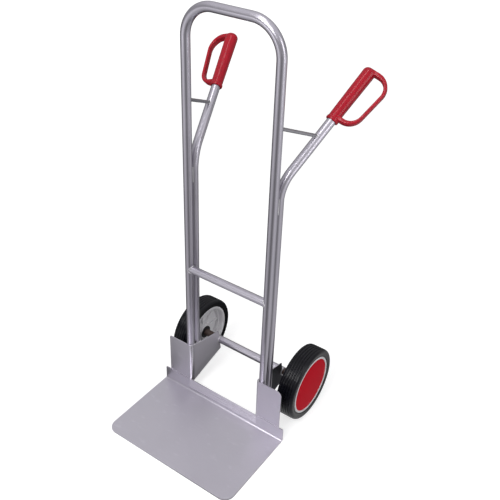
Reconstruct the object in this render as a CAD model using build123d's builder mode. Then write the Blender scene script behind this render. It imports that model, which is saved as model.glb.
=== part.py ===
from build123d import *
from math import cos, radians, sin, sqrt
import os

# Hand truck with a welded tube frame, a toe plate and two solid-tyred wheels.
# Millimetres, +Z up, floor at Z = 0, toe plate towards -Y, handles towards +Y, right wheel towards +X.

# Fits and seats
seat_gap = 0.1
axle_clearance = 0.1
running_clearance = 0.08
end_play = 0.3
cover_gap = 0.2

# Tubes
tube_diameter = 22.0
tube_wall = 2.0
upright_spacing = 242.0
hoop_height = 1096.0
hoop_bend_radius = 72.0
tube_foot_height = 38.0

# Handle tubes
handle_bend_height = 729.5
handle_tilt = 50.0
handle_toe_out = 16.0
handle_bend_radius = 85.0

# Grips, measured along the handle from its bend
grip_start = 182.0
grip_length = 146.0
grip_diameter = 27.5
grip_end_diameter = 31.0
grip_end_wall = 13.5
grip_end_radius = 11.0
collar_diameter = 30.5
collar_length = 6.0
collar_slope = 2.0
collar_edge_radius = 1.5
collar_step_radius = 1.0
guard_thickness = 9.0
guard_width = 15.0
guard_top_reach = 57.5
guard_low_reach = 45.0
guard_top_radius = 34.0
guard_low_radius = 31.0
guard_top_step = 1.0
guard_low_offset = 13.5
guard_turn = 12.0
guard_edge_radius = 2.4

# Brace rods and cross bar
rod_diameter = 8.0
rod_upright_height = 873.0
rod_handle_distance = 139.0
cross_bar_diameter = 21.0
cross_bar_height = 416.0

# Toe plate
plate_width = 402.0
plate_depth = 243.0
plate_thickness = 3.0
plate_corner_radius = 28.0
lip_height = 43.0
lip_bend_radius = 4.0
lip_corner_radius = 3.0

# Side brackets
bracket_thickness = 2.5
bracket_top = 165.5
bracket_bottom = 14.0
bracket_flange_width = 78.0
bracket_fold_radius = 8.0
bracket_front_drop = 34.0
bracket_rear_top_setback = 9.5
bracket_rear_top_rise = 36.0
bracket_rear_low_reach = 2.5
bracket_rear_low_drop = 34.0
left_corner_radius = 4.0
right_corner_radius = 14.0

# Axle
axle_diameter = 15.0
axle_setback = 117.0
axle_tube_overhang = 3.0
axle_end_bevel = 1.0
axle_stick_out = 1.4
sleeve_diameter = 20.0
washer_diameter = 30.0
washer_thickness = 2.0
ring_diameter = 26.0
ring_thickness = 1.5
ring_bevel = 0.5

# Wheels, across the wheel measured from its mid plane
wheel_track = 355.0
tyre_height = 23.0
tyre_width = 51.0
tyre_shoulder_radius = 9.0
tyre_shoulder_drop = 1.0
tyre_crown_half = 14.0
tyre_crown_radius = 4.0
tyre_lip_gap = 0.5
tyre_lip_rise = 1.0
tyre_lip_radius = 0.4
tyre_wall_radius = 1.5
tread_groove_count = 5
tread_groove_width = 2.4
tread_groove_depth = 2.2
tread_groove_pitch = 7.6
rim_width = 48.0
rim_seat_diameter = 160.0
rim_barrel_wall = 3.6
rim_flange_height = 2.6
rim_flange_width = 4.0
rim_edge_radius = 1.2
web_thickness = 4.0
web_offset = 3.0
web_root = 1.0
rib_count = 8
rib_thickness = 3.0
rib_depth = 9.0
hub_diameter = 46.0
hub_inner_length = 15.0
hub_outer_length = 13.0
bush_diameter = 24.0
bush_length = 12.0
inner_bush_flange_diameter = 37.0
inner_bush_flange_thickness = 2.5
outer_bush_flange_diameter = 30.0
outer_bush_flange_thickness = 2.0
cover_thickness = 2.4
cover_recess = 1.0
cover_skirt_thickness = 2.5
cover_skirt_length = 8.0
cover_edge_radius = 1.2
cover_skirt_radius = 0.5

# Plugs in the lower tube ends
plug_head_height = 2.0
plug_stem_length = 14.0

# Derived sizes and positions
tube_radius = tube_diameter / 2
wheel_diameter = rim_seat_diameter + 2 * tyre_height
rim_bore_diameter = rim_seat_diameter - 2 * rim_barrel_wall
rim_flange_radius = rim_seat_diameter / 2 + rim_flange_height
upright_x = upright_spacing / 2
tilt = radians(handle_tilt)
toe_out = radians(handle_toe_out)
handle_back = sin(tilt) * cos(toe_out)
grip_end = grip_start + grip_length
upright_behind_lip = plate_thickness + bracket_thickness + seat_gap + tube_radius
handle_behind_lip = upright_behind_lip + tube_diameter + seat_gap
grip_reach = (
    handle_behind_lip
    + (grip_end - grip_end_radius) * handle_back
    + (grip_end_diameter / 2 - grip_end_radius) * sqrt(1 - handle_back**2)
    + grip_end_radius
)
lip_front = (plate_depth - grip_reach) / 2
lip_back = lip_front + plate_thickness
upright_y = lip_front + upright_behind_lip
handle_y = lip_front + handle_behind_lip
hoop_top = hoop_height - tube_radius
bracket_x = upright_x - tube_radius - seat_gap - bracket_thickness
axle_y = upright_y + axle_setback
axle_z = wheel_diameter / 2
axle_tube_end = bracket_x + bracket_thickness + axle_tube_overhang
wheel_x = wheel_track / 2
hub_inner_x = wheel_x - hub_inner_length
hub_outer_x = wheel_x + hub_outer_length
bush_inner_face = hub_inner_x - inner_bush_flange_thickness
bush_outer_face = hub_outer_x + outer_bush_flange_thickness
washer_x = bush_outer_face + end_play
ring_x = washer_x + washer_thickness + seat_gap
axle_end = ring_x + ring_thickness + axle_stick_out
axle_bore = axle_diameter + 2 * axle_clearance

os.makedirs("parts", exist_ok=True)


def keep(builder, name):
    builder.part.label = name
    export_step(builder.part, "parts/" + name + ".step")


# Hoop: one tube bent to a U, the two uprights and the top
with BuildPart() as hoop_tube:
    with BuildLine(Plane.XZ.offset(-upright_y)) as hoop_path:
        FilletPolyline(
            (-upright_x, tube_foot_height),
            (-upright_x, hoop_top),
            (upright_x, hoop_top),
            (upright_x, tube_foot_height),
            radius=hoop_bend_radius,
        )
    with BuildSketch(Plane(origin=hoop_path.line @ 0, z_dir=hoop_path.line % 0)):
        Circle(tube_radius)
        Circle(tube_radius - tube_wall, mode=Mode.SUBTRACT)
    sweep()
keep(hoop_tube, "hoop_tube")

# Cross bar, coped at both ends to sit on the uprights
with BuildPart() as cross_bar:
    with BuildSketch(Plane.YZ):
        with Locations((upright_y, cross_bar_height)):
            Circle(cross_bar_diameter / 2)
            Circle(cross_bar_diameter / 2 - tube_wall, mode=Mode.SUBTRACT)
    extrude(amount=upright_x, both=True)
    with BuildSketch(Plane.XY.offset(cross_bar_height - tube_diameter)):
        with Locations((-upright_x, upright_y), (upright_x, upright_y)):
            Circle(tube_radius + seat_gap)
    extrude(amount=2 * tube_diameter, mode=Mode.SUBTRACT)
    with BuildSketch(Plane.XY.offset(cross_bar_height - tube_diameter)):
        with Locations((0, upright_y)):
            Rectangle(upright_spacing, 2 * tube_diameter)
    extrude(amount=2 * tube_diameter, mode=Mode.INTERSECT)
keep(cross_bar, "cross_bar")

# Toe plate with an upturned lip along its rear edge
with BuildPart() as toe_plate:
    with BuildSketch(Plane.YZ):
        with BuildLine():
            FilletPolyline(
                (lip_front - plate_depth, 0),
                (lip_back, 0),
                (lip_back, lip_height),
                (lip_front, lip_height),
                (lip_front, plate_thickness),
                (lip_front - plate_depth, plate_thickness),
                close=True,
                radius=[0, lip_bend_radius + plate_thickness, 0, 0, lip_bend_radius, 0],
            )
        make_face()
    extrude(amount=plate_width / 2, both=True)
    fillet(toe_plate.edges().filter_by(Axis.Z).group_by(Axis.Y)[0], plate_corner_radius)
    fillet(toe_plate.edges().filter_by(Axis.Y).group_by(Axis.Z)[-1], lip_corner_radius)
keep(toe_plate, "toe_plate")

# Axle tube and the axle inside it
with BuildPart() as axle_tube:
    with BuildSketch(Plane.YZ):
        with Locations((axle_y, axle_z)):
            Circle(tube_radius)
            Circle(axle_bore / 2, mode=Mode.SUBTRACT)
    extrude(amount=axle_tube_end, both=True)
keep(axle_tube, "axle_tube")

with BuildPart() as axle:
    with BuildSketch(Plane.YZ):
        with Locations((axle_y, axle_z)):
            Circle(axle_diameter / 2)
    extrude(amount=axle_end, both=True)
    chamfer(axle.edges().filter_by(GeomType.CIRCLE), axle_end_bevel)
keep(axle, "axle")

# Plugs in the lower ends of the four tubes
with BuildPart() as tube_end_plugs:
    foot_points = [(x, y) for x in (-upright_x, upright_x) for y in (upright_y, handle_y)]
    with BuildSketch(Plane.XY.offset(tube_foot_height - plug_head_height)):
        with Locations(foot_points):
            Circle(tube_radius)
    extrude(amount=plug_head_height)
    with BuildSketch(Plane.XY.offset(tube_foot_height)):
        with Locations(foot_points):
            Circle(tube_radius - tube_wall - seat_gap)
    extrude(amount=plug_stem_length)
keep(tube_end_plugs, "tube_end_plugs")

# Pieces that come as a left and right pair
for side, name, corner_radius in (
    (-1, "left", left_corner_radius),
    (1, "right", right_corner_radius),
):
    # Handle tube: straight beside the upright, then bent back and outwards
    along = Vector(side * sin(tilt) * sin(toe_out), handle_back, cos(tilt))
    bend_point = Vector(side * upright_x, handle_y, handle_bend_height)
    with BuildPart() as handle_tube:
        with BuildLine() as handle_path:
            FilletPolyline(
                (side * upright_x, handle_y, tube_foot_height),
                bend_point,
                bend_point + along * (grip_end - grip_end_wall - seat_gap),
                radius=handle_bend_radius,
            )
        with BuildSketch(Plane(origin=handle_path.line @ 0, z_dir=handle_path.line % 0)):
            Circle(tube_radius)
            Circle(tube_radius - tube_wall, mode=Mode.SUBTRACT)
        sweep()
    keep(handle_tube, name + "_handle_tube")

    # Brace rod between upright and handle tube, coped at both ends
    rod_low = Vector(side * upright_x, upright_y, rod_upright_height)
    rod_far = bend_point + along * rod_handle_distance
    rod_span = rod_far - rod_low
    with BuildPart() as brace_rod:
        with BuildSketch(Plane(origin=rod_low, z_dir=rod_span)):
            Circle(rod_diameter / 2)
        extrude(amount=rod_span.length)
        with BuildSketch(Plane.XY.offset(rod_upright_height - tube_diameter)):
            with Locations((side * upright_x, upright_y)):
                Circle(tube_radius + seat_gap)
        extrude(amount=2 * tube_diameter, mode=Mode.SUBTRACT)
        with BuildSketch(Plane(origin=rod_far - along * tube_diameter, z_dir=along)):
            Circle(tube_radius + seat_gap)
        extrude(amount=2 * tube_diameter, mode=Mode.SUBTRACT)
    keep(brace_rod, name + "_brace_rod")

    # Grip: closed sleeve with a knuckle guard on its outer side
    sideways = (Vector(side, 0, 0) - along * (side * along.X)).normalized()
    under = along.cross(sideways) * side
    turn = radians(guard_turn)
    outward = sideways * cos(turn) + under * sin(turn)
    guard_plane = Plane(origin=bend_point, x_dir=along, z_dir=along.cross(outward))
    guard_top = grip_end - guard_thickness / 2 - guard_top_step
    guard_low = grip_start + guard_low_offset
    with BuildPart() as grip:
        with BuildSketch(guard_plane):
            with BuildLine():
                FilletPolyline(
                    (guard_top, 0),
                    (guard_top, guard_top_reach),
                    (guard_low, guard_low_reach),
                    (guard_low, 0),
                    radius=[guard_top_radius, guard_low_radius],
                )
            trace(line_width=guard_thickness)
        extrude(amount=guard_width / 2, both=True)
        guard_sides = grip.faces().filter_by(Axis((0, 0, 0), guard_plane.z_dir))
        fillet(guard_sides.edges(), guard_edge_radius)
        with BuildSketch(guard_plane):
            with BuildLine():
                FilletPolyline(
                    (grip_start, 0),
                    (grip_start, collar_diameter / 2),
                    (grip_start + collar_length, collar_diameter / 2),
                    (grip_start + collar_length + collar_slope, grip_diameter / 2),
                    (grip_end, grip_end_diameter / 2),
                    (grip_end, 0),
                    radius=[collar_edge_radius, collar_step_radius, collar_step_radius, grip_end_radius],
                )
                Line((grip_end, 0), (grip_start, 0))
            make_face()
        revolve(axis=Axis(bend_point, along))
        with BuildSketch(Plane(origin=bend_point + along * grip_start, z_dir=along)):
            Circle(tube_radius + seat_gap)
        extrude(amount=grip_length - grip_end_wall, mode=Mode.SUBTRACT)
    keep(grip, name + "_grip")

    # Side bracket: a sheet folded once, with a notch that the axle tube is welded into
    fold_x = side * bracket_x
    edge_x = side * (bracket_x + bracket_flange_width)
    rear_low = axle_y + bracket_rear_low_reach
    with BuildPart() as side_bracket:
        with BuildSketch(Plane.XY.offset(bracket_bottom)):
            with BuildLine():
                FilletPolyline(
                    (edge_x, lip_back + bracket_thickness / 2),
                    (fold_x + side * bracket_thickness / 2, lip_back + bracket_thickness / 2),
                    (fold_x + side * bracket_thickness / 2, rear_low),
                    radius=bracket_fold_radius - bracket_thickness / 2,
                )
            trace(line_width=bracket_thickness)
        extrude(amount=bracket_top - bracket_bottom)
        with BuildSketch(Plane.YZ):
            with BuildLine():
                Polyline(
                    (lip_back, bracket_bottom),
                    (lip_back + bracket_thickness, bracket_bottom),
                    (lip_back + bracket_fold_radius, bracket_front_drop),
                    (rear_low, axle_z - bracket_rear_low_drop),
                    (axle_y - bracket_rear_top_setback, axle_z + bracket_rear_top_rise),
                    (lip_back + bracket_thickness, bracket_top),
                    (lip_back, bracket_top),
                    close=True,
                )
            make_face()
            with Locations((axle_y, axle_z)):
                Circle(tube_radius + seat_gap, mode=Mode.SUBTRACT)
        extrude(amount=upright_spacing, both=True, mode=Mode.INTERSECT)
        top_corners = side_bracket.edges().filter_by(Axis.Y).group_by(Axis.Z)[-1]
        fillet(top_corners.sort_by(Axis.X)[0 if side < 0 else -1], corner_radius)
    keep(side_bracket, name + "_side_bracket")

    # Sleeve between axle tube and hub
    with BuildPart() as spacer_sleeve:
        with BuildSketch(Plane.YZ.offset(side * (axle_tube_end + seat_gap))):
            with Locations((axle_y, axle_z)):
                Circle(sleeve_diameter / 2)
                Circle(axle_bore / 2, mode=Mode.SUBTRACT)
        extrude(amount=side * (bush_inner_face - end_play - axle_tube_end - seat_gap))
    keep(spacer_sleeve, name + "_spacer_sleeve")

    # Washer and push-on retaining ring on the axle end
    with BuildPart() as axle_washer:
        with BuildSketch(Plane.YZ.offset(side * washer_x)):
            with Locations((axle_y, axle_z)):
                Circle(washer_diameter / 2)
                Circle(axle_bore / 2, mode=Mode.SUBTRACT)
        extrude(amount=side * washer_thickness)
    keep(axle_washer, name + "_axle_washer")

    with BuildPart() as retaining_ring:
        with BuildSketch(Plane.YZ.offset(side * ring_x)):
            with Locations((axle_y, axle_z)):
                Circle(ring_diameter / 2)
                Circle(axle_bore / 2, mode=Mode.SUBTRACT)
        extrude(amount=side * ring_thickness)
        chamfer(retaining_ring.edges().filter_by(GeomType.CIRCLE).group_by(SortBy.RADIUS)[-1], ring_bevel)
    keep(retaining_ring, name + "_retaining_ring")

    # Wheel sections are drawn with the axle line as X and the wheel's mid plane at 0
    wheel_plane = Plane(
        origin=(side * wheel_x, axle_y, axle_z), x_dir=(side, 0, 0), z_dir=(0, -side, 0)
    )
    axle_line = Axis((0, axle_y, axle_z), (1, 0, 0))
    tyre_half = tyre_width / 2
    channel_half = rim_width / 2 - rim_flange_width
    tyre_lip_low = rim_flange_radius + tyre_lip_gap
    tyre_lip_high = tyre_lip_low + tyre_lip_rise
    tyre_shoulder = wheel_diameter / 2 - tyre_shoulder_drop

    # Solid tyre sitting between the rim flanges, with ribs around the tread
    with BuildPart() as tyre:
        with BuildSketch(wheel_plane):
            with BuildLine():
                FilletPolyline(
                    (-channel_half + seat_gap, rim_seat_diameter / 2 + seat_gap),
                    (-channel_half + seat_gap, tyre_lip_low),
                    (-tyre_half, tyre_lip_high),
                    (-tyre_half, tyre_shoulder),
                    (-tyre_crown_half, wheel_diameter / 2),
                    (tyre_crown_half, wheel_diameter / 2),
                    (tyre_half, tyre_shoulder),
                    (tyre_half, tyre_lip_high),
                    (channel_half - seat_gap, tyre_lip_low),
                    (channel_half - seat_gap, rim_seat_diameter / 2 + seat_gap),
                    radius=[
                        tyre_lip_radius,
                        tyre_wall_radius,
                        tyre_shoulder_radius,
                        tyre_crown_radius,
                        tyre_crown_radius,
                        tyre_shoulder_radius,
                        tyre_wall_radius,
                        tyre_lip_radius,
                    ],
                )
                Line(
                    (channel_half - seat_gap, rim_seat_diameter / 2 + seat_gap),
                    (-channel_half + seat_gap, rim_seat_diameter / 2 + seat_gap),
                )
            make_face()
            with Locations((0, wheel_diameter / 2)):
                with GridLocations(tread_groove_pitch, 0, tread_groove_count, 1):
                    Rectangle(tread_groove_width, 2 * tread_groove_depth, mode=Mode.SUBTRACT)
        revolve(axis=axle_line)
    keep(tyre, name + "_tyre")

    # Rim: barrel with two flanges, web, hub and radial ribs on the inner side
    web_face = web_offset - web_thickness / 2
    with BuildPart() as rim:
        with BuildSketch(wheel_plane):
            with BuildLine():
                FilletPolyline(
                    (-rim_width / 2, rim_bore_diameter / 2),
                    (-rim_width / 2, rim_flange_radius),
                    (-channel_half, rim_flange_radius),
                    (-channel_half, rim_seat_diameter / 2),
                    (channel_half, rim_seat_diameter / 2),
                    (channel_half, rim_flange_radius),
                    (rim_width / 2, rim_flange_radius),
                    (rim_width / 2, rim_bore_diameter / 2),
                    close=True,
                    radius=[
                        rim_edge_radius,
                        rim_edge_radius,
                        rim_edge_radius,
                        0,
                        0,
                        rim_edge_radius,
                        rim_edge_radius,
                        rim_edge_radius,
                    ],
                )
            make_face()
            with Locations((web_offset, (rim_bore_diameter + hub_diameter) / 4)):
                Rectangle(web_thickness, (rim_bore_diameter - hub_diameter) / 2 + 2 * web_root)
            with Locations(((hub_outer_length - hub_inner_length) / 2, (hub_diameter + bush_diameter) / 4)):
                Rectangle(hub_inner_length + hub_outer_length, (hub_diameter - bush_diameter) / 2)
        revolve(axis=axle_line)
        rib_plane = Plane(
            origin=(side * (wheel_x + web_face), axle_y, axle_z), x_dir=(0, 1, 0), z_dir=(-side, 0, 0)
        )
        with BuildSketch(rib_plane):
            with PolarLocations((rim_bore_diameter + hub_diameter) / 4, rib_count):
                Rectangle((rim_bore_diameter - hub_diameter) / 2 + 2 * web_root, rib_thickness)
        extrude(amount=rib_depth)
    keep(rim, name + "_rim")

    # Flanged bushes pressed into both ends of the hub
    bush_bore = axle_diameter / 2 + running_clearance
    with BuildPart() as inner_bush:
        with BuildSketch(wheel_plane):
            with BuildLine():
                Polyline(
                    (-hub_inner_length - inner_bush_flange_thickness, bush_bore),
                    (-hub_inner_length - inner_bush_flange_thickness, inner_bush_flange_diameter / 2),
                    (-hub_inner_length, inner_bush_flange_diameter / 2),
                    (-hub_inner_length, bush_diameter / 2),
                    (-hub_inner_length + bush_length, bush_diameter / 2),
                    (-hub_inner_length + bush_length, bush_bore),
                    close=True,
                )
            make_face()
        revolve(axis=axle_line)
    keep(inner_bush, name + "_inner_bush")

    with BuildPart() as outer_bush:
        with BuildSketch(wheel_plane):
            with BuildLine():
                Polyline(
                    (hub_outer_length + outer_bush_flange_thickness, bush_bore),
                    (hub_outer_length + outer_bush_flange_thickness, outer_bush_flange_diameter / 2),
                    (hub_outer_length, outer_bush_flange_diameter / 2),
                    (hub_outer_length, bush_diameter / 2),
                    (hub_outer_length - bush_length, bush_diameter / 2),
                    (hub_outer_length - bush_length, bush_bore),
                    close=True,
                )
            make_face()
        revolve(axis=axle_line)
    keep(outer_bush, name + "_outer_bush")

    # Red cover snapped into the outer end of the rim
    cover_radius = rim_bore_diameter / 2 - cover_gap
    cover_out = rim_width / 2 - cover_recess
    with BuildPart() as wheel_cover:
        with BuildSketch(wheel_plane):
            with BuildLine():
                FilletPolyline(
                    (cover_out, 0),
                    (cover_out, cover_radius),
                    (cover_out - cover_skirt_length, cover_radius),
                    (cover_out - cover_skirt_length, cover_radius - cover_skirt_thickness),
                    (cover_out - cover_thickness, cover_radius - cover_skirt_thickness),
                    (cover_out - cover_thickness, 0),
                    radius=[cover_edge_radius, cover_skirt_radius, cover_skirt_radius, cover_skirt_radius],
                )
                Line((cover_out - cover_thickness, 0), (cover_out, 0))
            make_face()
        revolve(axis=axle_line)
    keep(wheel_cover, name + "_wheel_cover")
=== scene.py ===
from math import acos, cos, pi, radians, sin, sqrt, tan, tau

import bpy
from mathutils import Matrix, Vector


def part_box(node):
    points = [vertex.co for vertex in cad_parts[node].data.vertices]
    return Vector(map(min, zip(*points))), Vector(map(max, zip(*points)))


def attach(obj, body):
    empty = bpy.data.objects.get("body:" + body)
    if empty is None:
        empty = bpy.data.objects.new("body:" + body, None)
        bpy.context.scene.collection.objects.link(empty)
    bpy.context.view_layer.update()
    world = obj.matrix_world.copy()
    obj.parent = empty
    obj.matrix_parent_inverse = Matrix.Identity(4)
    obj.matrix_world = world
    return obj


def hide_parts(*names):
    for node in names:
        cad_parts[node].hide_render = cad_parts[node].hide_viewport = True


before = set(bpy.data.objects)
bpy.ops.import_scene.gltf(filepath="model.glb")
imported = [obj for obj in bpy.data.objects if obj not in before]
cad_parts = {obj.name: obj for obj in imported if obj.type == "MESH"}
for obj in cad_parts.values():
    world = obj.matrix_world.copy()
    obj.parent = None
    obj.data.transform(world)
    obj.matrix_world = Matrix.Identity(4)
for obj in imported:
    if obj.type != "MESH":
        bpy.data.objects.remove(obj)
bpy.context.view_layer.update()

mm = 0.001
across = Vector((1, 0, 0))
upward = Vector((0, 0, 1))


# Places taken from the CAD pieces, and the stock they are made of

def middle(node):
    """Middle of a CAD node's box."""
    low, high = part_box(node)
    return (low + high) / 2


tube_radius = 11 * mm
seat_gap = 0.1 * mm
plate_thickness = 3 * mm
hoop_low, hoop_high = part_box("hoop_tube")
upright_x = hoop_high.x - tube_radius
upright_y = (hoop_low.y + hoop_high.y) / 2
handle_y = upright_y + 2 * tube_radius + seat_gap
bar_height = middle("cross_bar").z
axle_line = middle("axle")
right_hub = Vector((middle("right_tyre").x, axle_line.y, axle_line.z))
left_hub = Vector((-right_hub.x, right_hub.y, right_hub.z))
bracket_low, bracket_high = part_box("right_side_bracket")
bracket_face = bracket_low.x
plate_low, plate_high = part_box("toe_plate")
lip_front = plate_high.y - plate_thickness

# Right handle: where its tube bends, the way it runs from there, and the way its knuckle guard points
handle_bend_height = 729.5 * mm
handle_tilt = radians(50)
handle_toe_out = radians(16)
guard_turn = radians(12)
handle_bend = Vector((upright_x, handle_y, handle_bend_height))
handle_run = Vector((
    sin(handle_tilt) * sin(handle_toe_out), sin(handle_tilt) * cos(handle_toe_out), cos(handle_tilt)))
sideways = (across - handle_run * handle_run.x).normalized()
guard_way = sideways * cos(guard_turn) + handle_run.cross(sideways) * sin(guard_turn)

# Wheel, in mm along the axle from the middle of the tyre, and in mm out from the axle
tyre_half = 25.5
tyre_radius = 103
shoulder_start = 101.6
groove_pitch = 7.6
groove_floor = 100.8
groove_floor_half = 1
groove_mouth_half = 1.4
rim_half = 24
rim_seat = 80
rim_seat_half = 20
rim_fit = 0.1
flange_radius = 82.6
hub_bore = 12.1
hub_radius = 21.6
hub_inner = -15
hub_outer = 13
web_inner = 1
web_outer = 5
rib_count = 8
rib_size = Vector((7, 3, 49))
rib_middle = Vector((-2, 0, 46))
rib_edge = 0.9
cover_back = 20.2
cover_front = 22
cover_radius = 76.2
skirt_end = 15
skirt_bore = 73.7

# Grip, in mm along the handle from its bend, and in mm out from the handle
grip_start = 182
grip_end = 328
grip_radius = 13.75
grip_end_radius = 15.5
grip_end_round = 11
grip_end_wall = 13.5
grip_bore = 11.1
grip_voxel = 0.8
core_overhang = 20
collar_radius = 15.25
collar_width = 6
collar_slope = 2
guard_thick = 7.6
guard_wide = 13.5
guard_edge = 2.6
guard_swell = 1.42
guard_low = 194.5
guard_top = 322.5
guard_low_reach = 48
guard_top_reach = 61
guard_low_bend = 31
guard_top_bend = 34
guard_root = 6
bend_steps = 14

# Brace rod: where its middle line meets the upright, and the handle from its bend
rod_height = 873 * mm
rod_reach = 139 * mm

# Welds round the rods, the cross bar and the axle tube, and how far they stand off a face
rod_weld_radius = 4.1 * mm
bar_weld_radius = 10.7 * mm
axle_weld_radius = 11.4 * mm
weld_proud = 0.4 * mm

# Welds of the tubes in the sloping top of a bracket: out from its face, and beside the middle of a tube
bracket_thickness = 2.5 * mm
bracket_top_fall = 0.225
post_weld_start = Vector((2.4, 1)) * mm
post_weld_end = Vector((4.2, 8)) * mm
post_weld_drop = 1.6 * mm

# Seam between upright and handle tube, below the bend
seam_low = 664 * mm
seam_high = 702 * mm
seam_aside = 6 * mm

sheet_edge = 0.6 * mm

# Camera, fitted to the photograph, and the spot that the lamps point at
camera_turn = radians(34.0481)
camera_rise = radians(33.9393)
camera_roll = radians(2.2227)
camera_place = Vector((0.832612, plate_low.y - 0.878679, 1.473554))
camera_lens = 51.046
lamp_target = Vector((0, 0.1, 0.5))


# Ways of making things

def put_down():
    """Leaves edit mode and deselects everything."""
    if bpy.context.mode != "OBJECT":
        bpy.ops.object.mode_set(mode="OBJECT")
    bpy.ops.object.select_all(action="DESELECT")


def take(*pieces):
    """Selects these pieces alone and makes the first one active."""
    put_down()
    for piece in pieces:
        piece.select_set(True)
    bpy.context.view_layer.objects.active = pieces[0]
    return pieces[0]


def open_up():
    """Goes into edit mode with the whole mesh selected."""
    bpy.ops.object.mode_set(mode="EDIT")
    bpy.ops.mesh.select_all(action="SELECT")


def rounded(corners):
    """Outline of (along, out, radius) corners with each corner rounded to its radius."""
    outline = []
    spots = [Vector((along, out)) for along, out, radius in corners]
    radii = [radius for along, out, radius in corners]
    for number, (here, radius) in enumerate(zip(spots, radii)):
        if radius == 0:
            outline.append(here)
            continue
        back = (spots[number - 1] - here).normalized()
        on = (spots[(number + 1) % len(spots)] - here).normalized()
        half = acos(max(-1, min(1, back.dot(on)))) / 2
        reach = radius / tan(half)
        centre = here + (back + on).normalized() * radius / sin(half)
        first = here + back * reach - centre
        last = here + on * reach - centre
        sweep = first.angle_signed(last)
        steps = 2 if radius < 1 else 4 if radius < 4 else 7
        for step in range(steps + 1):
            outline.append(centre + Matrix.Rotation(-sweep * step / steps, 2) @ first)
    return outline


def turned(name, corners, centre, along, out, steps):
    """A turned piece: the closed outline is drawn point by point and spun once round its axis."""
    path = [centre + along * (spot.x * mm) + out * (spot.y * mm) for spot in rounded(corners)]
    path.append(path[0])
    put_down()
    bpy.ops.mesh.primitive_plane_add(size=0.01, location=path[0])
    piece = bpy.context.object
    piece.name = name
    open_up()
    bpy.ops.mesh.merge(type="CENTER")
    for here, there in zip(path, path[1:]):
        bpy.ops.mesh.extrude_region_move(TRANSFORM_OT_translate={"value": there - here})
    bpy.ops.mesh.select_all(action="SELECT")
    bpy.ops.mesh.spin(steps=steps, angle=tau, center=centre, axis=along)
    close_skin()
    return settle(piece)


def close_skin():
    """Merges points that lie on each other and turns every face outwards."""
    bpy.ops.mesh.select_all(action="SELECT")
    bpy.ops.mesh.remove_doubles(threshold=0.002 * mm)
    bpy.ops.mesh.normals_make_consistent(inside=False)


def settle(piece, sharp=32):
    """Puts a piece's place into its mesh and smooths it, except at edges sharper than an angle."""
    take(piece)
    bpy.ops.object.transform_apply(location=True, rotation=True, scale=True)
    bpy.ops.object.shade_smooth_by_angle(angle=radians(sharp))
    return piece


def copy_of(piece, name):
    """A copy with its own mesh, selected alone."""
    take(piece)
    bpy.ops.object.duplicate()
    twin = bpy.context.object
    twin.name = name
    return twin


def other_side(piece, name):
    """The same piece for the left: a copy mirrored across the middle of the truck."""
    twin = copy_of(piece, name)
    twin.scale = (-1, 1, 1)
    bpy.ops.object.transform_apply(location=True, rotation=True, scale=True)
    open_up()
    close_skin()
    return settle(twin)


def joined(*pieces):
    """Pieces made one, under the first one's name."""
    whole = take(*pieces)
    bpy.ops.object.join()
    return whole


def worked(piece, kind, **settings):
    """Adds a modifier, sets it and applies it."""
    take(piece)
    step = piece.modifiers.new(kind.title(), kind)
    for name, value in settings.items():
        setattr(step, name, value)
    bpy.ops.object.modifier_apply(modifier=step.name)
    return piece


def fitted(piece, body, slot, *nodes):
    """Lets a piece ride on its body and hides the CAD nodes that it stands for. The slot is not used."""
    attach(piece, body)
    if nodes:
        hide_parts(*nodes)


# Wheels

def tyre():
    """Solid tyre: five grooves round the tread, rounded shoulders and a ridge low on each wall."""
    bead = rim_seat_half - rim_fit
    wall = [
        (-bead, rim_seat + rim_fit, 0), (-bead, 83.1, 0.4), (-24.7, 84.1, 1.2), (-25.1, 87.4, 0.5),
        (-24.6, 88.1, 0.4), (-tyre_half, 92.5, 3), (-tyre_half, shoulder_start, 7),
    ]
    tread = []
    for number in range(-2, 3):
        groove = number * groove_pitch
        tread += [
            (groove - groove_mouth_half, tyre_radius, 0.8), (groove - groove_floor_half, groove_floor, 0.5),
            (groove + groove_floor_half, groove_floor, 0.5), (groove + groove_mouth_half, tyre_radius, 0.8),
        ]
    other_wall = [(-along, out, radius) for along, out, radius in reversed(wall)]
    return turned("right_tyre_rubber", wall + tread + other_wall, right_hub, across, upward, 144)


def rim():
    """Moulded wheel centre: hub, web, stepped barrel with two flanges, and eight ribs inside."""
    centre = turned("right_rim_moulding", [
        (hub_inner, hub_bore, 0), (hub_inner, hub_radius, 1.6), (web_inner, 23, 2), (web_inner, 69.6, 2),
        (-7.4, 70.2, 1.2), (-8, 75.3, 1.2), (-rim_half, 76.6, 1.4), (-rim_half, flange_radius, 1.3),
        (-rim_seat_half, flange_radius, 0.9), (-rim_seat_half, rim_seat, 0), (rim_seat_half, rim_seat, 0),
        (rim_seat_half, flange_radius, 0.9), (rim_half, flange_radius, 1.6), (rim_half, 76.5, 1.2),
        (web_outer, 76.4, 2), (web_outer, 22, 2), (hub_outer, hub_radius, 1.2), (hub_outer, hub_bore, 0),
    ], right_hub, across, upward, 128)
    put_down()
    bpy.ops.mesh.primitive_cube_add(size=1, location=right_hub + rib_middle * mm)
    rib = bpy.context.object
    open_up()
    bpy.ops.transform.resize(value=rib_size * mm)
    bpy.ops.mesh.bevel(offset=rib_edge * mm, segments=3, affect="EDGES")
    settle(rib)
    ribs = [rib]
    for number in range(1, rib_count):
        spare = copy_of(rib, "rib")
        bpy.ops.transform.rotate(value=tau * number / rib_count, orient_axis="X", center_override=right_hub)
        ribs.append(settle(spare))
    return settle(joined(centre, *ribs))


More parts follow.
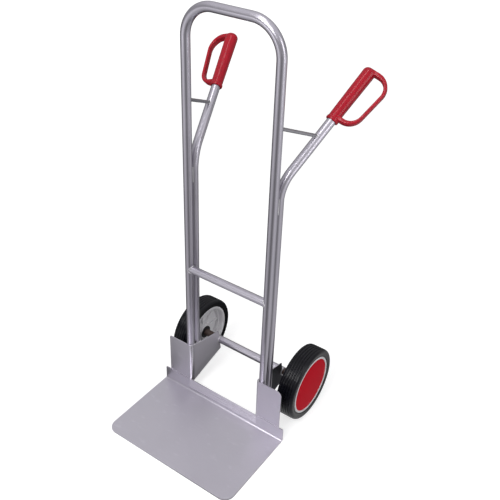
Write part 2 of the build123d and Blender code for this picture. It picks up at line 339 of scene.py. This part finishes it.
def wheel_cover():
    """Snap-in disc: slightly dished face, rounded border and a skirt that sits in the rim."""
    return turned("right_cover_disc", [
        (cover_back, 0, 0), (cover_front, 0, 0), (22.9, 75.3, 1), (21.8, cover_radius, 0.5),
        (skirt_end, cover_radius, 0.4), (skirt_end, skirt_bore, 0.4), (cover_back, 73.5, 1),
    ], right_hub, across, upward, 128)


right_tyre = tyre()
right_rim = rim()
right_cover = wheel_cover()
left_tyre = other_side(right_tyre, "left_tyre_rubber")
left_rim = other_side(right_rim, "left_rim_moulding")
left_cover = other_side(right_cover, "left_cover_disc")
for side, tyre_piece, rim_piece, cover_piece in (
        ("right", right_tyre, right_rim, right_cover), ("left", left_tyre, left_rim, left_cover)):
    fitted(tyre_piece, side + "_wheel", "tyre_black", side + "_tyre")
    fitted(rim_piece, side + "_wheel", "rim_pale", side + "_rim")
    fitted(cover_piece, side + "_wheel", "cover_red", side + "_wheel_cover")


# Grips

def knuckle_guard():
    """Strap from the top of the sleeve, down outside the hand and back in, stouter at both its roots.

    It is drawn with the handle along Y and the guard's reach along Z, and laid on the handle at the end.
    """
    out = Vector((0, 1))
    top_corner = Vector((guard_top, guard_top_reach)) * mm
    low_corner = Vector((guard_low, guard_low_reach)) * mm
    grip_run = (low_corner - top_corner).normalized()
    top_turn = acos(grip_run.y)
    low_turn = pi - top_turn
    top_cut = guard_top_bend * tan(top_turn / 2) * mm
    low_cut = guard_low_bend * tan(low_turn / 2) * mm
    top_root = Vector((guard_top, 0)) * mm

    def swell(spot, factor):
        bpy.ops.transform.resize(value=(factor, factor, factor), center_override=(0, spot.x, spot.y))

    def run_on(step):
        bpy.ops.mesh.extrude_region_move(TRANSFORM_OT_translate={"value": (0, step.x, step.y)})

    def bend_on(spot, way, radius, turn, factor):
        pivot = spot + Vector((-way.y, way.x)) * radius * mm
        part = turn / bend_steps
        for number in range(1, bend_steps + 1):
            bpy.ops.mesh.spin(steps=1, angle=part, center=(0, pivot.x, pivot.y), axis=(-1, 0, 0))
            swell(pivot + Matrix.Rotation(part * number, 2) @ (spot - pivot), factor ** (1 / bend_steps))

    put_down()
    bpy.ops.mesh.primitive_plane_add(size=1)
    strap = bpy.context.object
    open_up()
    bpy.ops.transform.resize(value=(guard_wide * mm, guard_thick * mm, 1))
    bpy.ops.mesh.bevel(offset=guard_edge * mm, segments=4, affect="VERTICES")
    bpy.ops.transform.translate(value=(0, top_root.x, top_root.y))
    swell(top_root, guard_swell)
    run_on(out * (top_corner.y - top_cut))
    bend_on(top_corner - out * top_cut, out, guard_top_bend, top_turn, 1 / guard_swell)
    run_on(low_corner - top_corner - grip_run * (top_cut + low_cut))
    bend_on(low_corner - grip_run * low_cut, grip_run, guard_low_bend, low_turn, guard_swell)
    run_on(out * (guard_root * mm - low_corner.y + low_cut))
    close_skin()
    put_down()
    strap.matrix_world = Matrix.Translation(handle_bend) @ Matrix(
        (handle_run.cross(guard_way), handle_run, guard_way)).transposed().to_4x4()
    return settle(strap)


def tube_core(radius):
    """Round bar along the handle, for cutting away what would stand inside the sleeve."""
    low = grip_start - core_overhang
    high = grip_end - grip_end_wall
    put_down()
    bpy.ops.mesh.primitive_cylinder_add(
        vertices=64, radius=radius * mm, depth=(high - low) * mm,
        location=handle_bend + handle_run * ((low + high) / 2 * mm),
        rotation=handle_run.to_track_quat("Z", "Y").to_euler())
    return bpy.context.object


def grip():
    """Soft sleeve with a collar at its mouth, a domed closed end and the guard moulded on."""
    collar_end = grip_start + collar_width
    bore_end = grip_end - grip_end_wall
    sleeve = turned("right_grip_moulding", [
        (grip_start, grip_bore, 0.6), (grip_start, collar_radius, 1.6), (collar_end, collar_radius, 1.8),
        (collar_end + collar_slope, grip_radius, 1.5), (grip_end, grip_end_radius, grip_end_round),
        (grip_end, 0, 0), (bore_end, 0, 0), (bore_end, grip_bore, 0.6),
    ], handle_bend, handle_run, guard_way, 72)
    guard = knuckle_guard()
    core = tube_core((grip_bore + grip_radius) / 2)
    worked(guard, "BOOLEAN", operation="DIFFERENCE", object=core)
    take(core)
    bpy.ops.object.delete()
    whole = joined(sleeve, guard)
    worked(whole, "REMESH", mode="VOXEL", voxel_size=grip_voxel * mm)
    worked(whole, "SMOOTH", factor=0.5, iterations=6)
    return settle(whole)


right_grip = grip()
left_grip = other_side(right_grip, "left_grip_moulding")
fitted(right_grip, "frame", "grip_red", "right_grip")
fitted(left_grip, "frame", "grip_red", "left_grip")


# Weld beads

def droplet():
    """One ripple of a weld: a small ball of eighty faces, flattened a little."""
    put_down()
    bpy.ops.mesh.primitive_ico_sphere_add(subdivisions=1, radius=1)
    ball = bpy.context.object
    open_up()
    bpy.ops.mesh.subdivide(smoothness=1)
    bpy.ops.transform.resize(value=(1, 1, 0.8))
    return settle(ball, 80)


def meeting(spot, way, axis_spot, axis):
    """How far a line goes before it meets a frame tube."""
    gap = spot - axis_spot
    gap = gap - axis * gap.dot(axis)
    flat = way - axis * way.dot(axis)
    pace = flat.dot(flat)
    nearing = gap.dot(flat)
    clear = gap.dot(gap) - tube_radius * tube_radius
    return (-nearing - sqrt(max(0, nearing * nearing - pace * clear))) / pace


def ring_weld(spot, way, bar_radius, axis_spot, axis, count):
    """Spots round a bar where it runs into a frame tube."""
    side = way.orthogonal().normalized()
    spots = []
    for number in range(count):
        start = spot + Matrix.Rotation(tau * number / count, 3, way) @ side * bar_radius
        spots.append(start + way * meeting(start, way, axis_spot, axis))
    return spots


def arc_weld(face, steps=22):
    """Spots round the front of the axle tube, beside a face of the bracket."""
    start = radians(95)
    sweep = radians(170)
    spots = []
    for step in range(steps + 1):
        angle = start + sweep * step / steps
        spots.append(Vector((
            face, axle_line.y + cos(angle) * axle_weld_radius, axle_line.z + sin(angle) * axle_weld_radius)))
    return spots


def line_weld(start, end, pitch):
    """Spots along a straight weld, about a pitch apart."""
    count = max(2, round((end - start).length / pitch))
    return [start.lerp(end, number / count) for number in range(count + 1)]


def weld_rows():
    """The welds of the right half: rows of spots, each with the size of its ripples in mm."""
    post = Vector((upright_x, upright_y, 0))
    rod_low = Vector((upright_x, upright_y, rod_height))
    rod_high = handle_bend + handle_run * rod_reach
    rod_way = (rod_high - rod_low).normalized()
    rod_middle = (rod_low + rod_high) / 2
    rows = [
        (ring_weld(Vector((0, upright_y, bar_height)), across, bar_weld_radius, post, upward, 46), 1.6),
        (ring_weld(rod_middle, -rod_way, rod_weld_radius, post, upward, 22), 1.3),
        (ring_weld(rod_middle, rod_way, rod_weld_radius, handle_bend, handle_run, 22), 1.3),
        (arc_weld(bracket_face - weld_proud), 1.6),
        (arc_weld(bracket_face + bracket_thickness + weld_proud), 1.6),
    ]
    for post_y in (upright_y, handle_y):
        top = bracket_high.z - (post_y - bracket_low.y) * bracket_top_fall
        for way in (-1, 1):
            start = Vector((bracket_face + post_weld_start.x, post_y + way * post_weld_start.y, top))
            end = Vector((
                bracket_face + post_weld_end.x, post_y + way * post_weld_end.y, top - way * post_weld_drop))
            rows.append((line_weld(start, end, 1.6 * mm), 1.7))
    seam_y = (upright_y + handle_y) / 2
    for way in (-1, 1):
        start = Vector((upright_x + way * seam_aside, seam_y, seam_low))
        end = Vector((upright_x + way * seam_aside, seam_y, seam_high))
        rows.append((line_weld(start, end, 2 * mm), 1.9))
    return rows


def weld_beads():
    """All welds of both halves as one piece, a droplet at each spot."""
    ball = droplet()
    drops = []
    for spots, size in weld_rows():
        for spot in spots:
            for way in (1, -1):
                drop = ball.copy()
                drop.data = ball.data.copy()
                bpy.context.collection.objects.link(drop)
                drop.location = (spot.x * way, spot.y, spot.z)
                drop.scale = (size * mm, size * mm, size * mm)
                drops.append(drop)
    take(ball)
    bpy.ops.object.delete()
    beads = joined(*drops)
    beads.name = "weld_beads"
    return settle(beads, 60)


welds = weld_beads()
fitted(welds, "frame", "tube_aluminium")


# Materials

class Strand:
    """An output of a material's node tree that can be added, multiplied and fed on."""

    def __init__(self, tree, socket=None):
        self.tree = tree
        self.socket = socket

    def node(self, kind, settings=None, inputs=None, output=0):
        """Adds any node, with its settings first and then the values or links of its sockets."""
        made = self.tree.nodes.new(kind)
        for name, value in (settings or {}).items():
            if name == "stops":
                soft_stops(made.color_ramp, value)
            else:
                setattr(made, name, value)
        for name, value in (inputs or {}).items():
            if isinstance(value, Strand):
                self.tree.links.new(value.socket, made.inputs[name])
            else:
                made.inputs[name].default_value = value
        return Strand(self.tree, made.outputs[output] if made.outputs else None)

    def math(self, operation, *values):
        return self.node("ShaderNodeMath", {"operation": operation}, dict(enumerate(values)))

    def __add__(self, other):
        return self.math("ADD", self, other)

    def __sub__(self, other):
        return self.math("SUBTRACT", self, other)

    def __rsub__(self, other):
        return self.math("SUBTRACT", other, self)

    def __mul__(self, other):
        return self.math("MULTIPLY", self, other)

    __radd__ = __add__
    __rmul__ = __mul__

    def place(self, scale=(1, 1, 1), centre=(0, 0, 0)):
        """The spot on the object, measured from a centre and stretched."""
        spot = self.node("ShaderNodeTexCoord", output="Object")
        moved = self.node("ShaderNodeVectorMath", {"operation": "SUBTRACT"}, {0: spot, 1: centre})
        return self.node("ShaderNodeMapping", inputs={"Vector": moved, "Scale": scale})

    def parts(self):
        """The three parts of a vector."""
        split = self.node("ShaderNodeSeparateXYZ", inputs={0: self})
        return [Strand(self.tree, part) for part in split.socket.node.outputs]

    def length(self):
        return self.node("ShaderNodeVectorMath", {"operation": "LENGTH"}, {0: self}, output="Value")

    def noise(self, scale, detail=3, stretch=(1, 1, 1)):
        return self.node("ShaderNodeTexNoise", inputs={
            "Vector": self.place(stretch), "Scale": scale, "Detail": detail}, output="Fac")

    def band(self, low, high):
        """A mask that rises softly from 0 at the low value to 1 at the high one."""
        return self.node("ShaderNodeMapRange", {"interpolation_type": "SMOOTHSTEP"}, {
            "Value": self, "From Min": low, "From Max": high})

    def tint(self, first, second):
        """From a first colour, plain or worked out, to a second one."""
        start = first if isinstance(first, Strand) else (*first, 1)
        return self.node("ShaderNodeMix", {"data_type": "RGBA"}, {
            0: self, 6: start, 7: (*second, 1)}, output=2)

    def bump(self, depth):
        return self.node("ShaderNodeBump", inputs={"Height": self, "Distance": depth}, output="Normal")


def soft_stops(ramp, stops):
    """Fills a ramp with greys, each at its place from 0 to 1, with soft passages between them."""
    ramp.interpolation = "EASE"
    ramp.elements[0].position = stops[0][0]
    ramp.elements[1].position = stops[-1][0]
    for place, level in stops[1:-1]:
        ramp.elements.new(place)
    for stop, (place, level) in zip(ramp.elements, stops):
        stop.color = (level, level, level * 1.02, 1)


def material(name):
    """A new material and the strand that its nodes start from."""
    made = bpy.data.materials.new(name)
    made.use_nodes = True
    made.node_tree.nodes.clear()
    return made, Strand(made.node_tree)


def surface(nodes, inputs):
    shader = nodes.node("ShaderNodeBsdfPrincipled", inputs=inputs)
    nodes.node("ShaderNodeOutputMaterial", inputs={"Surface": shader})


def drawn_aluminium(name, stretch, gloss):
    """Drawn tube: fine lines along the tube, faint cloudy handling marks."""
    made, nodes = material(name)
    lines = nodes.noise(30, 3, stretch)
    cloud = nodes.noise(9, 4)
    marks = nodes.noise(26, 4).band(0.55, 0.75)
    surface(nodes, {
        "Base Color": (0.6 * cloud + 0.4 * lines).tint((0.42, 0.402, 0.45), (0.57, 0.547, 0.61)),
        "Metallic": 1.0,
        "Roughness": gloss + 0.06 * cloud + 0.06 * marks + 0.04 * lines,
        "Normal": lines.bump(0.0025 * mm)})
    return made


def rolled_aluminium():
    """Rolled sheet: long grain across the truck, soft clouds, rubs, painted highlights on the folds, painted
    light on the bracket flanks behind the lip and painted shade on their outer faces.
    """
    made, nodes = material("rolled_aluminium")
    grain = nodes.noise(70, 4, (0.4, 9, 9))
    cloud = nodes.noise(7, 4)
    rubs = nodes.noise(30, 6, (1, 2, 1)).band(0.58, 0.74)
    east, north, high = nodes.place().parts()
    aside = nodes.math("ABSOLUTE", east)
    from_fold = nodes.math("ABSOLUTE", north - (lip_front - 3.4 * mm))
    # Painted highlight along the bend of the toe plate, just in front of the lip
    fold = (1 - from_fold.band(0.3 * mm, 1.8 * mm)) * (1 - high.band(6 * mm, 8 * mm))
    # Painted highlight on the upright fold at the front of each bracket, beside its side flange
    near_face = 1 - aside.band(bracket_face + 6 * mm, bracket_face + 9 * mm)
    near_lip = 1 - north.band(lip_front + 10 * mm, lip_front + 13 * mm)
    corner = near_face * near_lip * high.band(bracket_low.z - 1 * mm, bracket_low.z)
    # Painted light: the bracket flanks behind the lip are made paler than the rest of the sheet
    flank = north.band(lip_front + 12 * mm, lip_front + 16 * mm)
    # Painted shade: the outer faces of the flanks, towards the axle, are made dark for the wheel's shade and
    # a painted reflection of the black tyre
    outside = aside.band(bracket_face + 1.4 * mm, bracket_face + 2.2 * mm)
    painted_shade = outside * north.band(lip_front + 14 * mm, lip_front + 40 * mm)
    sheen = (0.5 * cloud + 0.35 * grain + 0.3 * rubs).tint((0.485, 0.464, 0.517), (0.615, 0.594, 0.652))
    # Painted light: the folds and the flanks are made paler than the sheet's own tone
    painted_light = (0.25 * fold + 0.5 * corner + 0.5 * flank).tint(sheen, (0.8, 0.78, 0.82))
    surface(nodes, {
        "Base Color": painted_shade.tint(painted_light, (0.1, 0.1, 0.11)),
        "Metallic": 1.0,
        "Roughness": 0.34 + 0.1 * cloud + 0.08 * grain - 0.16 * corner + 0.24 * flank,
        "Normal": grain.bump(0.03 * mm)})
    return made


def rod_aluminium():
    """Dull rod: short lines and clouds."""
    made, nodes = material("rod_aluminium")
    lines = nodes.noise(80, 4, (1, 0.4, 1))
    cloud = nodes.noise(20, 4)
    surface(nodes, {
        "Base Color": (0.6 * cloud + 0.4 * lines).tint((0.26, 0.26, 0.28), (0.44, 0.435, 0.46)),
        "Metallic": 1.0,
        "Roughness": 0.42 + 0.16 * cloud,
        "Normal": lines.bump(0.05 * mm)})
    return made


def weld_metal():
    """Bright weld: gritty, with paler and darker patches from the heat."""
    made, nodes = material("weld_metal")
    grit = nodes.noise(300, 3)
    heat = nodes.noise(60, 3)
    surface(nodes, {
        "Base Color": heat.tint((0.5, 0.49, 0.5), (0.76, 0.75, 0.76)),
        "Metallic": 1.0,
        "Roughness": 0.24 + 0.16 * grit,
        "Normal": grit.bump(0.1 * mm)})
    return made


def bright_steel():
    """Drawn steel rod: lines along it and duller spots."""
    made, nodes = material("bright_steel")
    lines = nodes.noise(120, 3, (0.2, 3, 3))
    spots = nodes.noise(90, 5).band(0.5, 0.75)
    surface(nodes, {
        "Base Color": (0.6 * spots + 0.4 * lines).tint((0.5, 0.49, 0.47), (0.66, 0.65, 0.63)),
        "Metallic": 1.0,
        "Roughness": 0.26 + 0.14 * spots,
        "Normal": lines.bump(0.04 * mm)})
    return made


def zinc_steel():
    """Zinc-plated steel with its spangle."""
    made, nodes = material("zinc_steel")
    spangle = nodes.node(
        "ShaderNodeTexVoronoi", inputs={"Vector": nodes.place(), "Scale": 180}, output="Distance")
    surface(nodes, {
        "Base Color": spangle.tint((0.52, 0.53, 0.54), (0.68, 0.68, 0.67)),
        "Metallic": 1.0,
        "Roughness": 0.3 + 0.2 * spangle})
    return made


def dark_sleeve():
    """Dark brown sleeve, cloudy and half dull."""
    made, nodes = material("dark_sleeve")
    cloud = nodes.noise(90, 4)
    surface(nodes, {
        "Base Color": cloud.tint((0.05, 0.032, 0.026), (0.105, 0.07, 0.058)),
        "Roughness": 0.42 + 0.2 * cloud,
        "Normal": cloud.bump(0.08 * mm)})
    return made


def red_plastic(name, low, high, gloss, shine):
    """Moulded plastic: slight flow clouds, fine moulding grain."""
    made, nodes = material(name)
    cloud = nodes.noise(22, 4)
    grain = nodes.noise(700, 2)
    surface(nodes, {
        "Base Color": cloud.tint(low, high),
        "Roughness": gloss + 0.08 * cloud,
        "Specular IOR Level": shine,
        "Normal": (0.8 * cloud + 0.2 * grain).bump(0.012 * mm)})
    return made


def tyre_rubber(name, hub):
    """Black rubber with a fine grain and patches of dust, a little greyer on the tread."""
    made, nodes = material(name)
    grain = nodes.noise(420, 4)
    dust = nodes.noise(24, 5).band(0.42, 0.72)
    tread = nodes.place((0, 1, 1), hub).length().band(99 * mm, 103.5 * mm)
    greyness = 0.35 * dust + 0.35 * tread + 0.2 * grain
    surface(nodes, {
        "Base Color": greyness.tint((0.0014, 0.0015, 0.0032), (0.0062, 0.006, 0.0105)),
        "Roughness": 0.17 + 0.12 * dust + 0.05 * tread,
        "Specular IOR Level": 0.24,
        "Normal": (grain + 0.4 * dust).bump(0.09 * mm)})
    return made


def rim_plastic():
    """Pale moulded plastic with a fine grain."""
    made, nodes = material("rim_plastic")
    cloud = nodes.noise(14, 4)
    grain = nodes.noise(500, 3)
    surface(nodes, {
        "Base Color": (0.7 * cloud + 0.2 * grain).tint((0.8, 0.79, 0.81), (0.94, 0.93, 0.95)),
        "Roughness": 0.36 + 0.14 * cloud,
        "Normal": grain.bump(0.06 * mm)})
    return made


def black_plastic():
    """Black moulded plastic with a fine grain."""
    made, nodes = material("black_plastic")
    grain = nodes.noise(380, 3)
    cloud = nodes.noise(30, 3)
    surface(nodes, {
        "Base Color": cloud.tint((0.01, 0.01, 0.011), (0.028, 0.028, 0.03)),
        "Roughness": 0.34 + 0.14 * cloud,
        "Normal": grain.bump(0.1 * mm)})
    return made


def both(name):
    """Names of a piece that is there on both sides."""
    return ["left_" + name, "right_" + name]


def finish(piece, made):
    piece.data.materials.clear()
    piece.data.materials.append(made)


sheets = ["toe_plate"] + both("side_bracket")
cad_finishes = [
    (drawn_aluminium("drawn_aluminium", (14, 14, 0.25), 0.24), ["hoop_tube"] + both("handle_tube")),
    (drawn_aluminium("drawn_aluminium_bars", (0.25, 14, 14), 0.28), ["cross_bar", "axle_tube"]),
    (rolled_aluminium(), sheets),
    (rod_aluminium(), both("brace_rod")),
    (bright_steel(), ["axle"]),
    (dark_sleeve(), both("spacer_sleeve")),
    (zinc_steel(), both("axle_washer") + both("retaining_ring")),
    (black_plastic(), ["tube_end_plugs"] + both("inner_bush") + both("outer_bush")),
]
for made, names in cad_finishes:
    for name in names:
        finish(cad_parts[name], made)

grip_red = red_plastic("grip_red", (0.37, 0.001, 0.012), (0.51, 0.003, 0.022), 0.2, 0.34)
cover_red = red_plastic("cover_red", (0.6, 0.001, 0.013), (0.68, 0.002, 0.02), 0.3, 0.012)
new_finishes = [
    (grip_red, [right_grip, left_grip]),
    (cover_red, [right_cover, left_cover]),
    (rim_plastic(), [right_rim, left_rim]),
    (tyre_rubber("right_tyre_rubber", right_hub), [right_tyre]),
    (tyre_rubber("left_tyre_rubber", left_hub), [left_tyre]),
    (weld_metal(), [welds]),
]
for made, pieces in new_finishes:
    for piece in pieces:
        finish(piece, made)

# Sheets with broken edges
for sheet in sheets:
    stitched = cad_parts[sheet].modifiers.new("Stitched", "WELD")
    stitched.merge_threshold = 0.01 * mm
    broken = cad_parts[sheet].modifiers.new("Broken edges", "BEVEL")
    broken.width = sheet_edge
    broken.segments = 2
    broken.limit_method = "ANGLE"
    broken.angle_limit = radians(50)


# Studio

def studio_floor():
    """Pale floor, white to the camera.

    Polished metal sees boards on it instead, in a ring that starts behind the truck and goes round by
    its left: dark behind and left, pale in front on the left, dark towards the camera, pale on the right.
    """
    made, nodes = material("studio_floor")
    seen = nodes.node("ShaderNodeLightPath", output="Is Camera Ray")
    glossy = nodes.node("ShaderNodeLightPath", output="Is Glossy Ray")
    spot = nodes.place()
    east, north = spot.parts()[:2]
    away = spot.length()
    round_truck = nodes.math("ARCTAN2", east, -1 * north) * (1 / tau) + 0.5
    boards = nodes.node("ShaderNodeValToRGB", {"stops": [
        (0.0, 0.12), (0.27, 0.14), (0.36, 0.8), (0.45, 0.9), (0.53, 0.45), (0.594, 0.2), (0.65, 0.45),
        (0.74, 0.95), (0.82, 0.85), (0.9, 0.7), (1.0, 0.12)]}, {0: round_truck})
    matt = nodes.node("ShaderNodeBsdfDiffuse", inputs={"Color": (0.6, 0.6, 0.6, 1)})
    # Painted shade round the truck: the floor's glow is dimmer near it
    paler = away.band(1.2, 5).tint((0.7, 0.7, 0.7), (1, 1, 1))
    glow = nodes.node("ShaderNodeEmission", inputs={"Color": paler})
    lit = nodes.node("ShaderNodeAddShader", inputs={0: matt, 1: glow})
    plain = nodes.node("ShaderNodeMixShader", inputs={0: seen, 1: matt, 2: lit})
    # Painted shade of the truck on the boards: they are dimmer near it
    fade = away.band(0.7, 2.6).tint((0.74, 0.74, 0.74), (1, 1, 1))
    faded = nodes.node("ShaderNodeVectorMath", {"operation": "MULTIPLY"}, {0: boards, 1: fade})
    mirrored = nodes.node("ShaderNodeEmission", inputs={"Color": faded})
    whole = nodes.node("ShaderNodeMixShader", inputs={0: glossy, 1: plain, 2: mirrored})
    nodes.node("ShaderNodeOutputMaterial", inputs={"Surface": whole})
    put_down()
    bpy.ops.mesh.primitive_plane_add(size=30, location=(0, 0, -0.6 * mm))
    floor = bpy.context.object
    floor.name = "studio_floor"
    finish(floor, made)


def studio_sky():
    """White to the camera, and to the truck a grey room that is paler overhead."""
    world = bpy.data.worlds.new("studio_sky")
    bpy.context.scene.world = world
    world.use_nodes = True
    world.node_tree.nodes.clear()
    nodes = Strand(world.node_tree)
    seen = nodes.node("ShaderNodeLightPath", output="Is Camera Ray")
    glossy = nodes.node("ShaderNodeLightPath", output="Is Glossy Ray")
    high = nodes.node("ShaderNodeTexCoord", output="Generated").parts()[2]
    rise = high.band(0.1, 0.95)
    level = 0.14 + 0.3 * rise + glossy * (0.26 + 0.2 * rise)
    shade = nodes.node("ShaderNodeCombineColor", inputs={0: level, 1: level, 2: level * 1.02})
    room = nodes.node("ShaderNodeBackground", inputs={"Color": shade})
    white = nodes.node("ShaderNodeBackground", inputs={"Color": (1, 1, 1, 1)})
    whole = nodes.node("ShaderNodeMixShader", inputs={0: seen, 1: room, 2: white})
    nodes.node("ShaderNodeOutputWorld", inputs={"Surface": whole})


def lamp(name, place, size, power):
    """Soft box of a width and a height in metres, aimed at the truck."""
    put_down()
    bpy.ops.object.light_add(type="AREA", location=place)
    made = bpy.context.object
    made.name = name
    made.data.shape = "RECTANGLE"
    made.data.size, made.data.size_y = size
    made.data.energy = power
    made.rotation_euler = (lamp_target - Vector(place)).to_track_quat("-Z", "Y").to_euler()


def camera():
    """Camera at the photograph's viewing angle."""
    put_down()
    bpy.ops.object.camera_add()
    made = bpy.context.object
    made.name = "photo_camera"
    level = Vector((cos(camera_turn), sin(camera_turn), 0))
    towards = Vector((sin(camera_turn), -cos(camera_turn), 0))
    back = towards * cos(camera_rise) + upward * sin(camera_rise)
    upright = back.cross(level)
    right = level * cos(camera_roll) + upright * sin(camera_roll)
    top = upright * cos(camera_roll) - level * sin(camera_roll)
    made.matrix_world = Matrix.Translation(camera_place) @ Matrix((right, top, back)).transposed().to_4x4()
    made.data.sensor_width = 36
    made.data.lens = camera_lens
    bpy.context.scene.camera = made


studio_floor()
studio_sky()
lamp("key_lamp", (0.1, -2.6, 3.0), (1.4, 1.4), 56)
lamp("side_lamp", (2.8, 0.2, 1.8), (1.0, 1.8), 16)
lamp("top_lamp", (-0.07, -0.65, 2.9), (0.4, 1.4), 8)
lamp("low_lamp", (-1.1, -2.5, 0.65), (0.45, 0.6), 3)
lamp("right_lamp", (3.0, 0.2, 0.35), (0.5, 0.9), 4)
camera()
bpy.context.scene.view_settings.view_transform = "Standard"
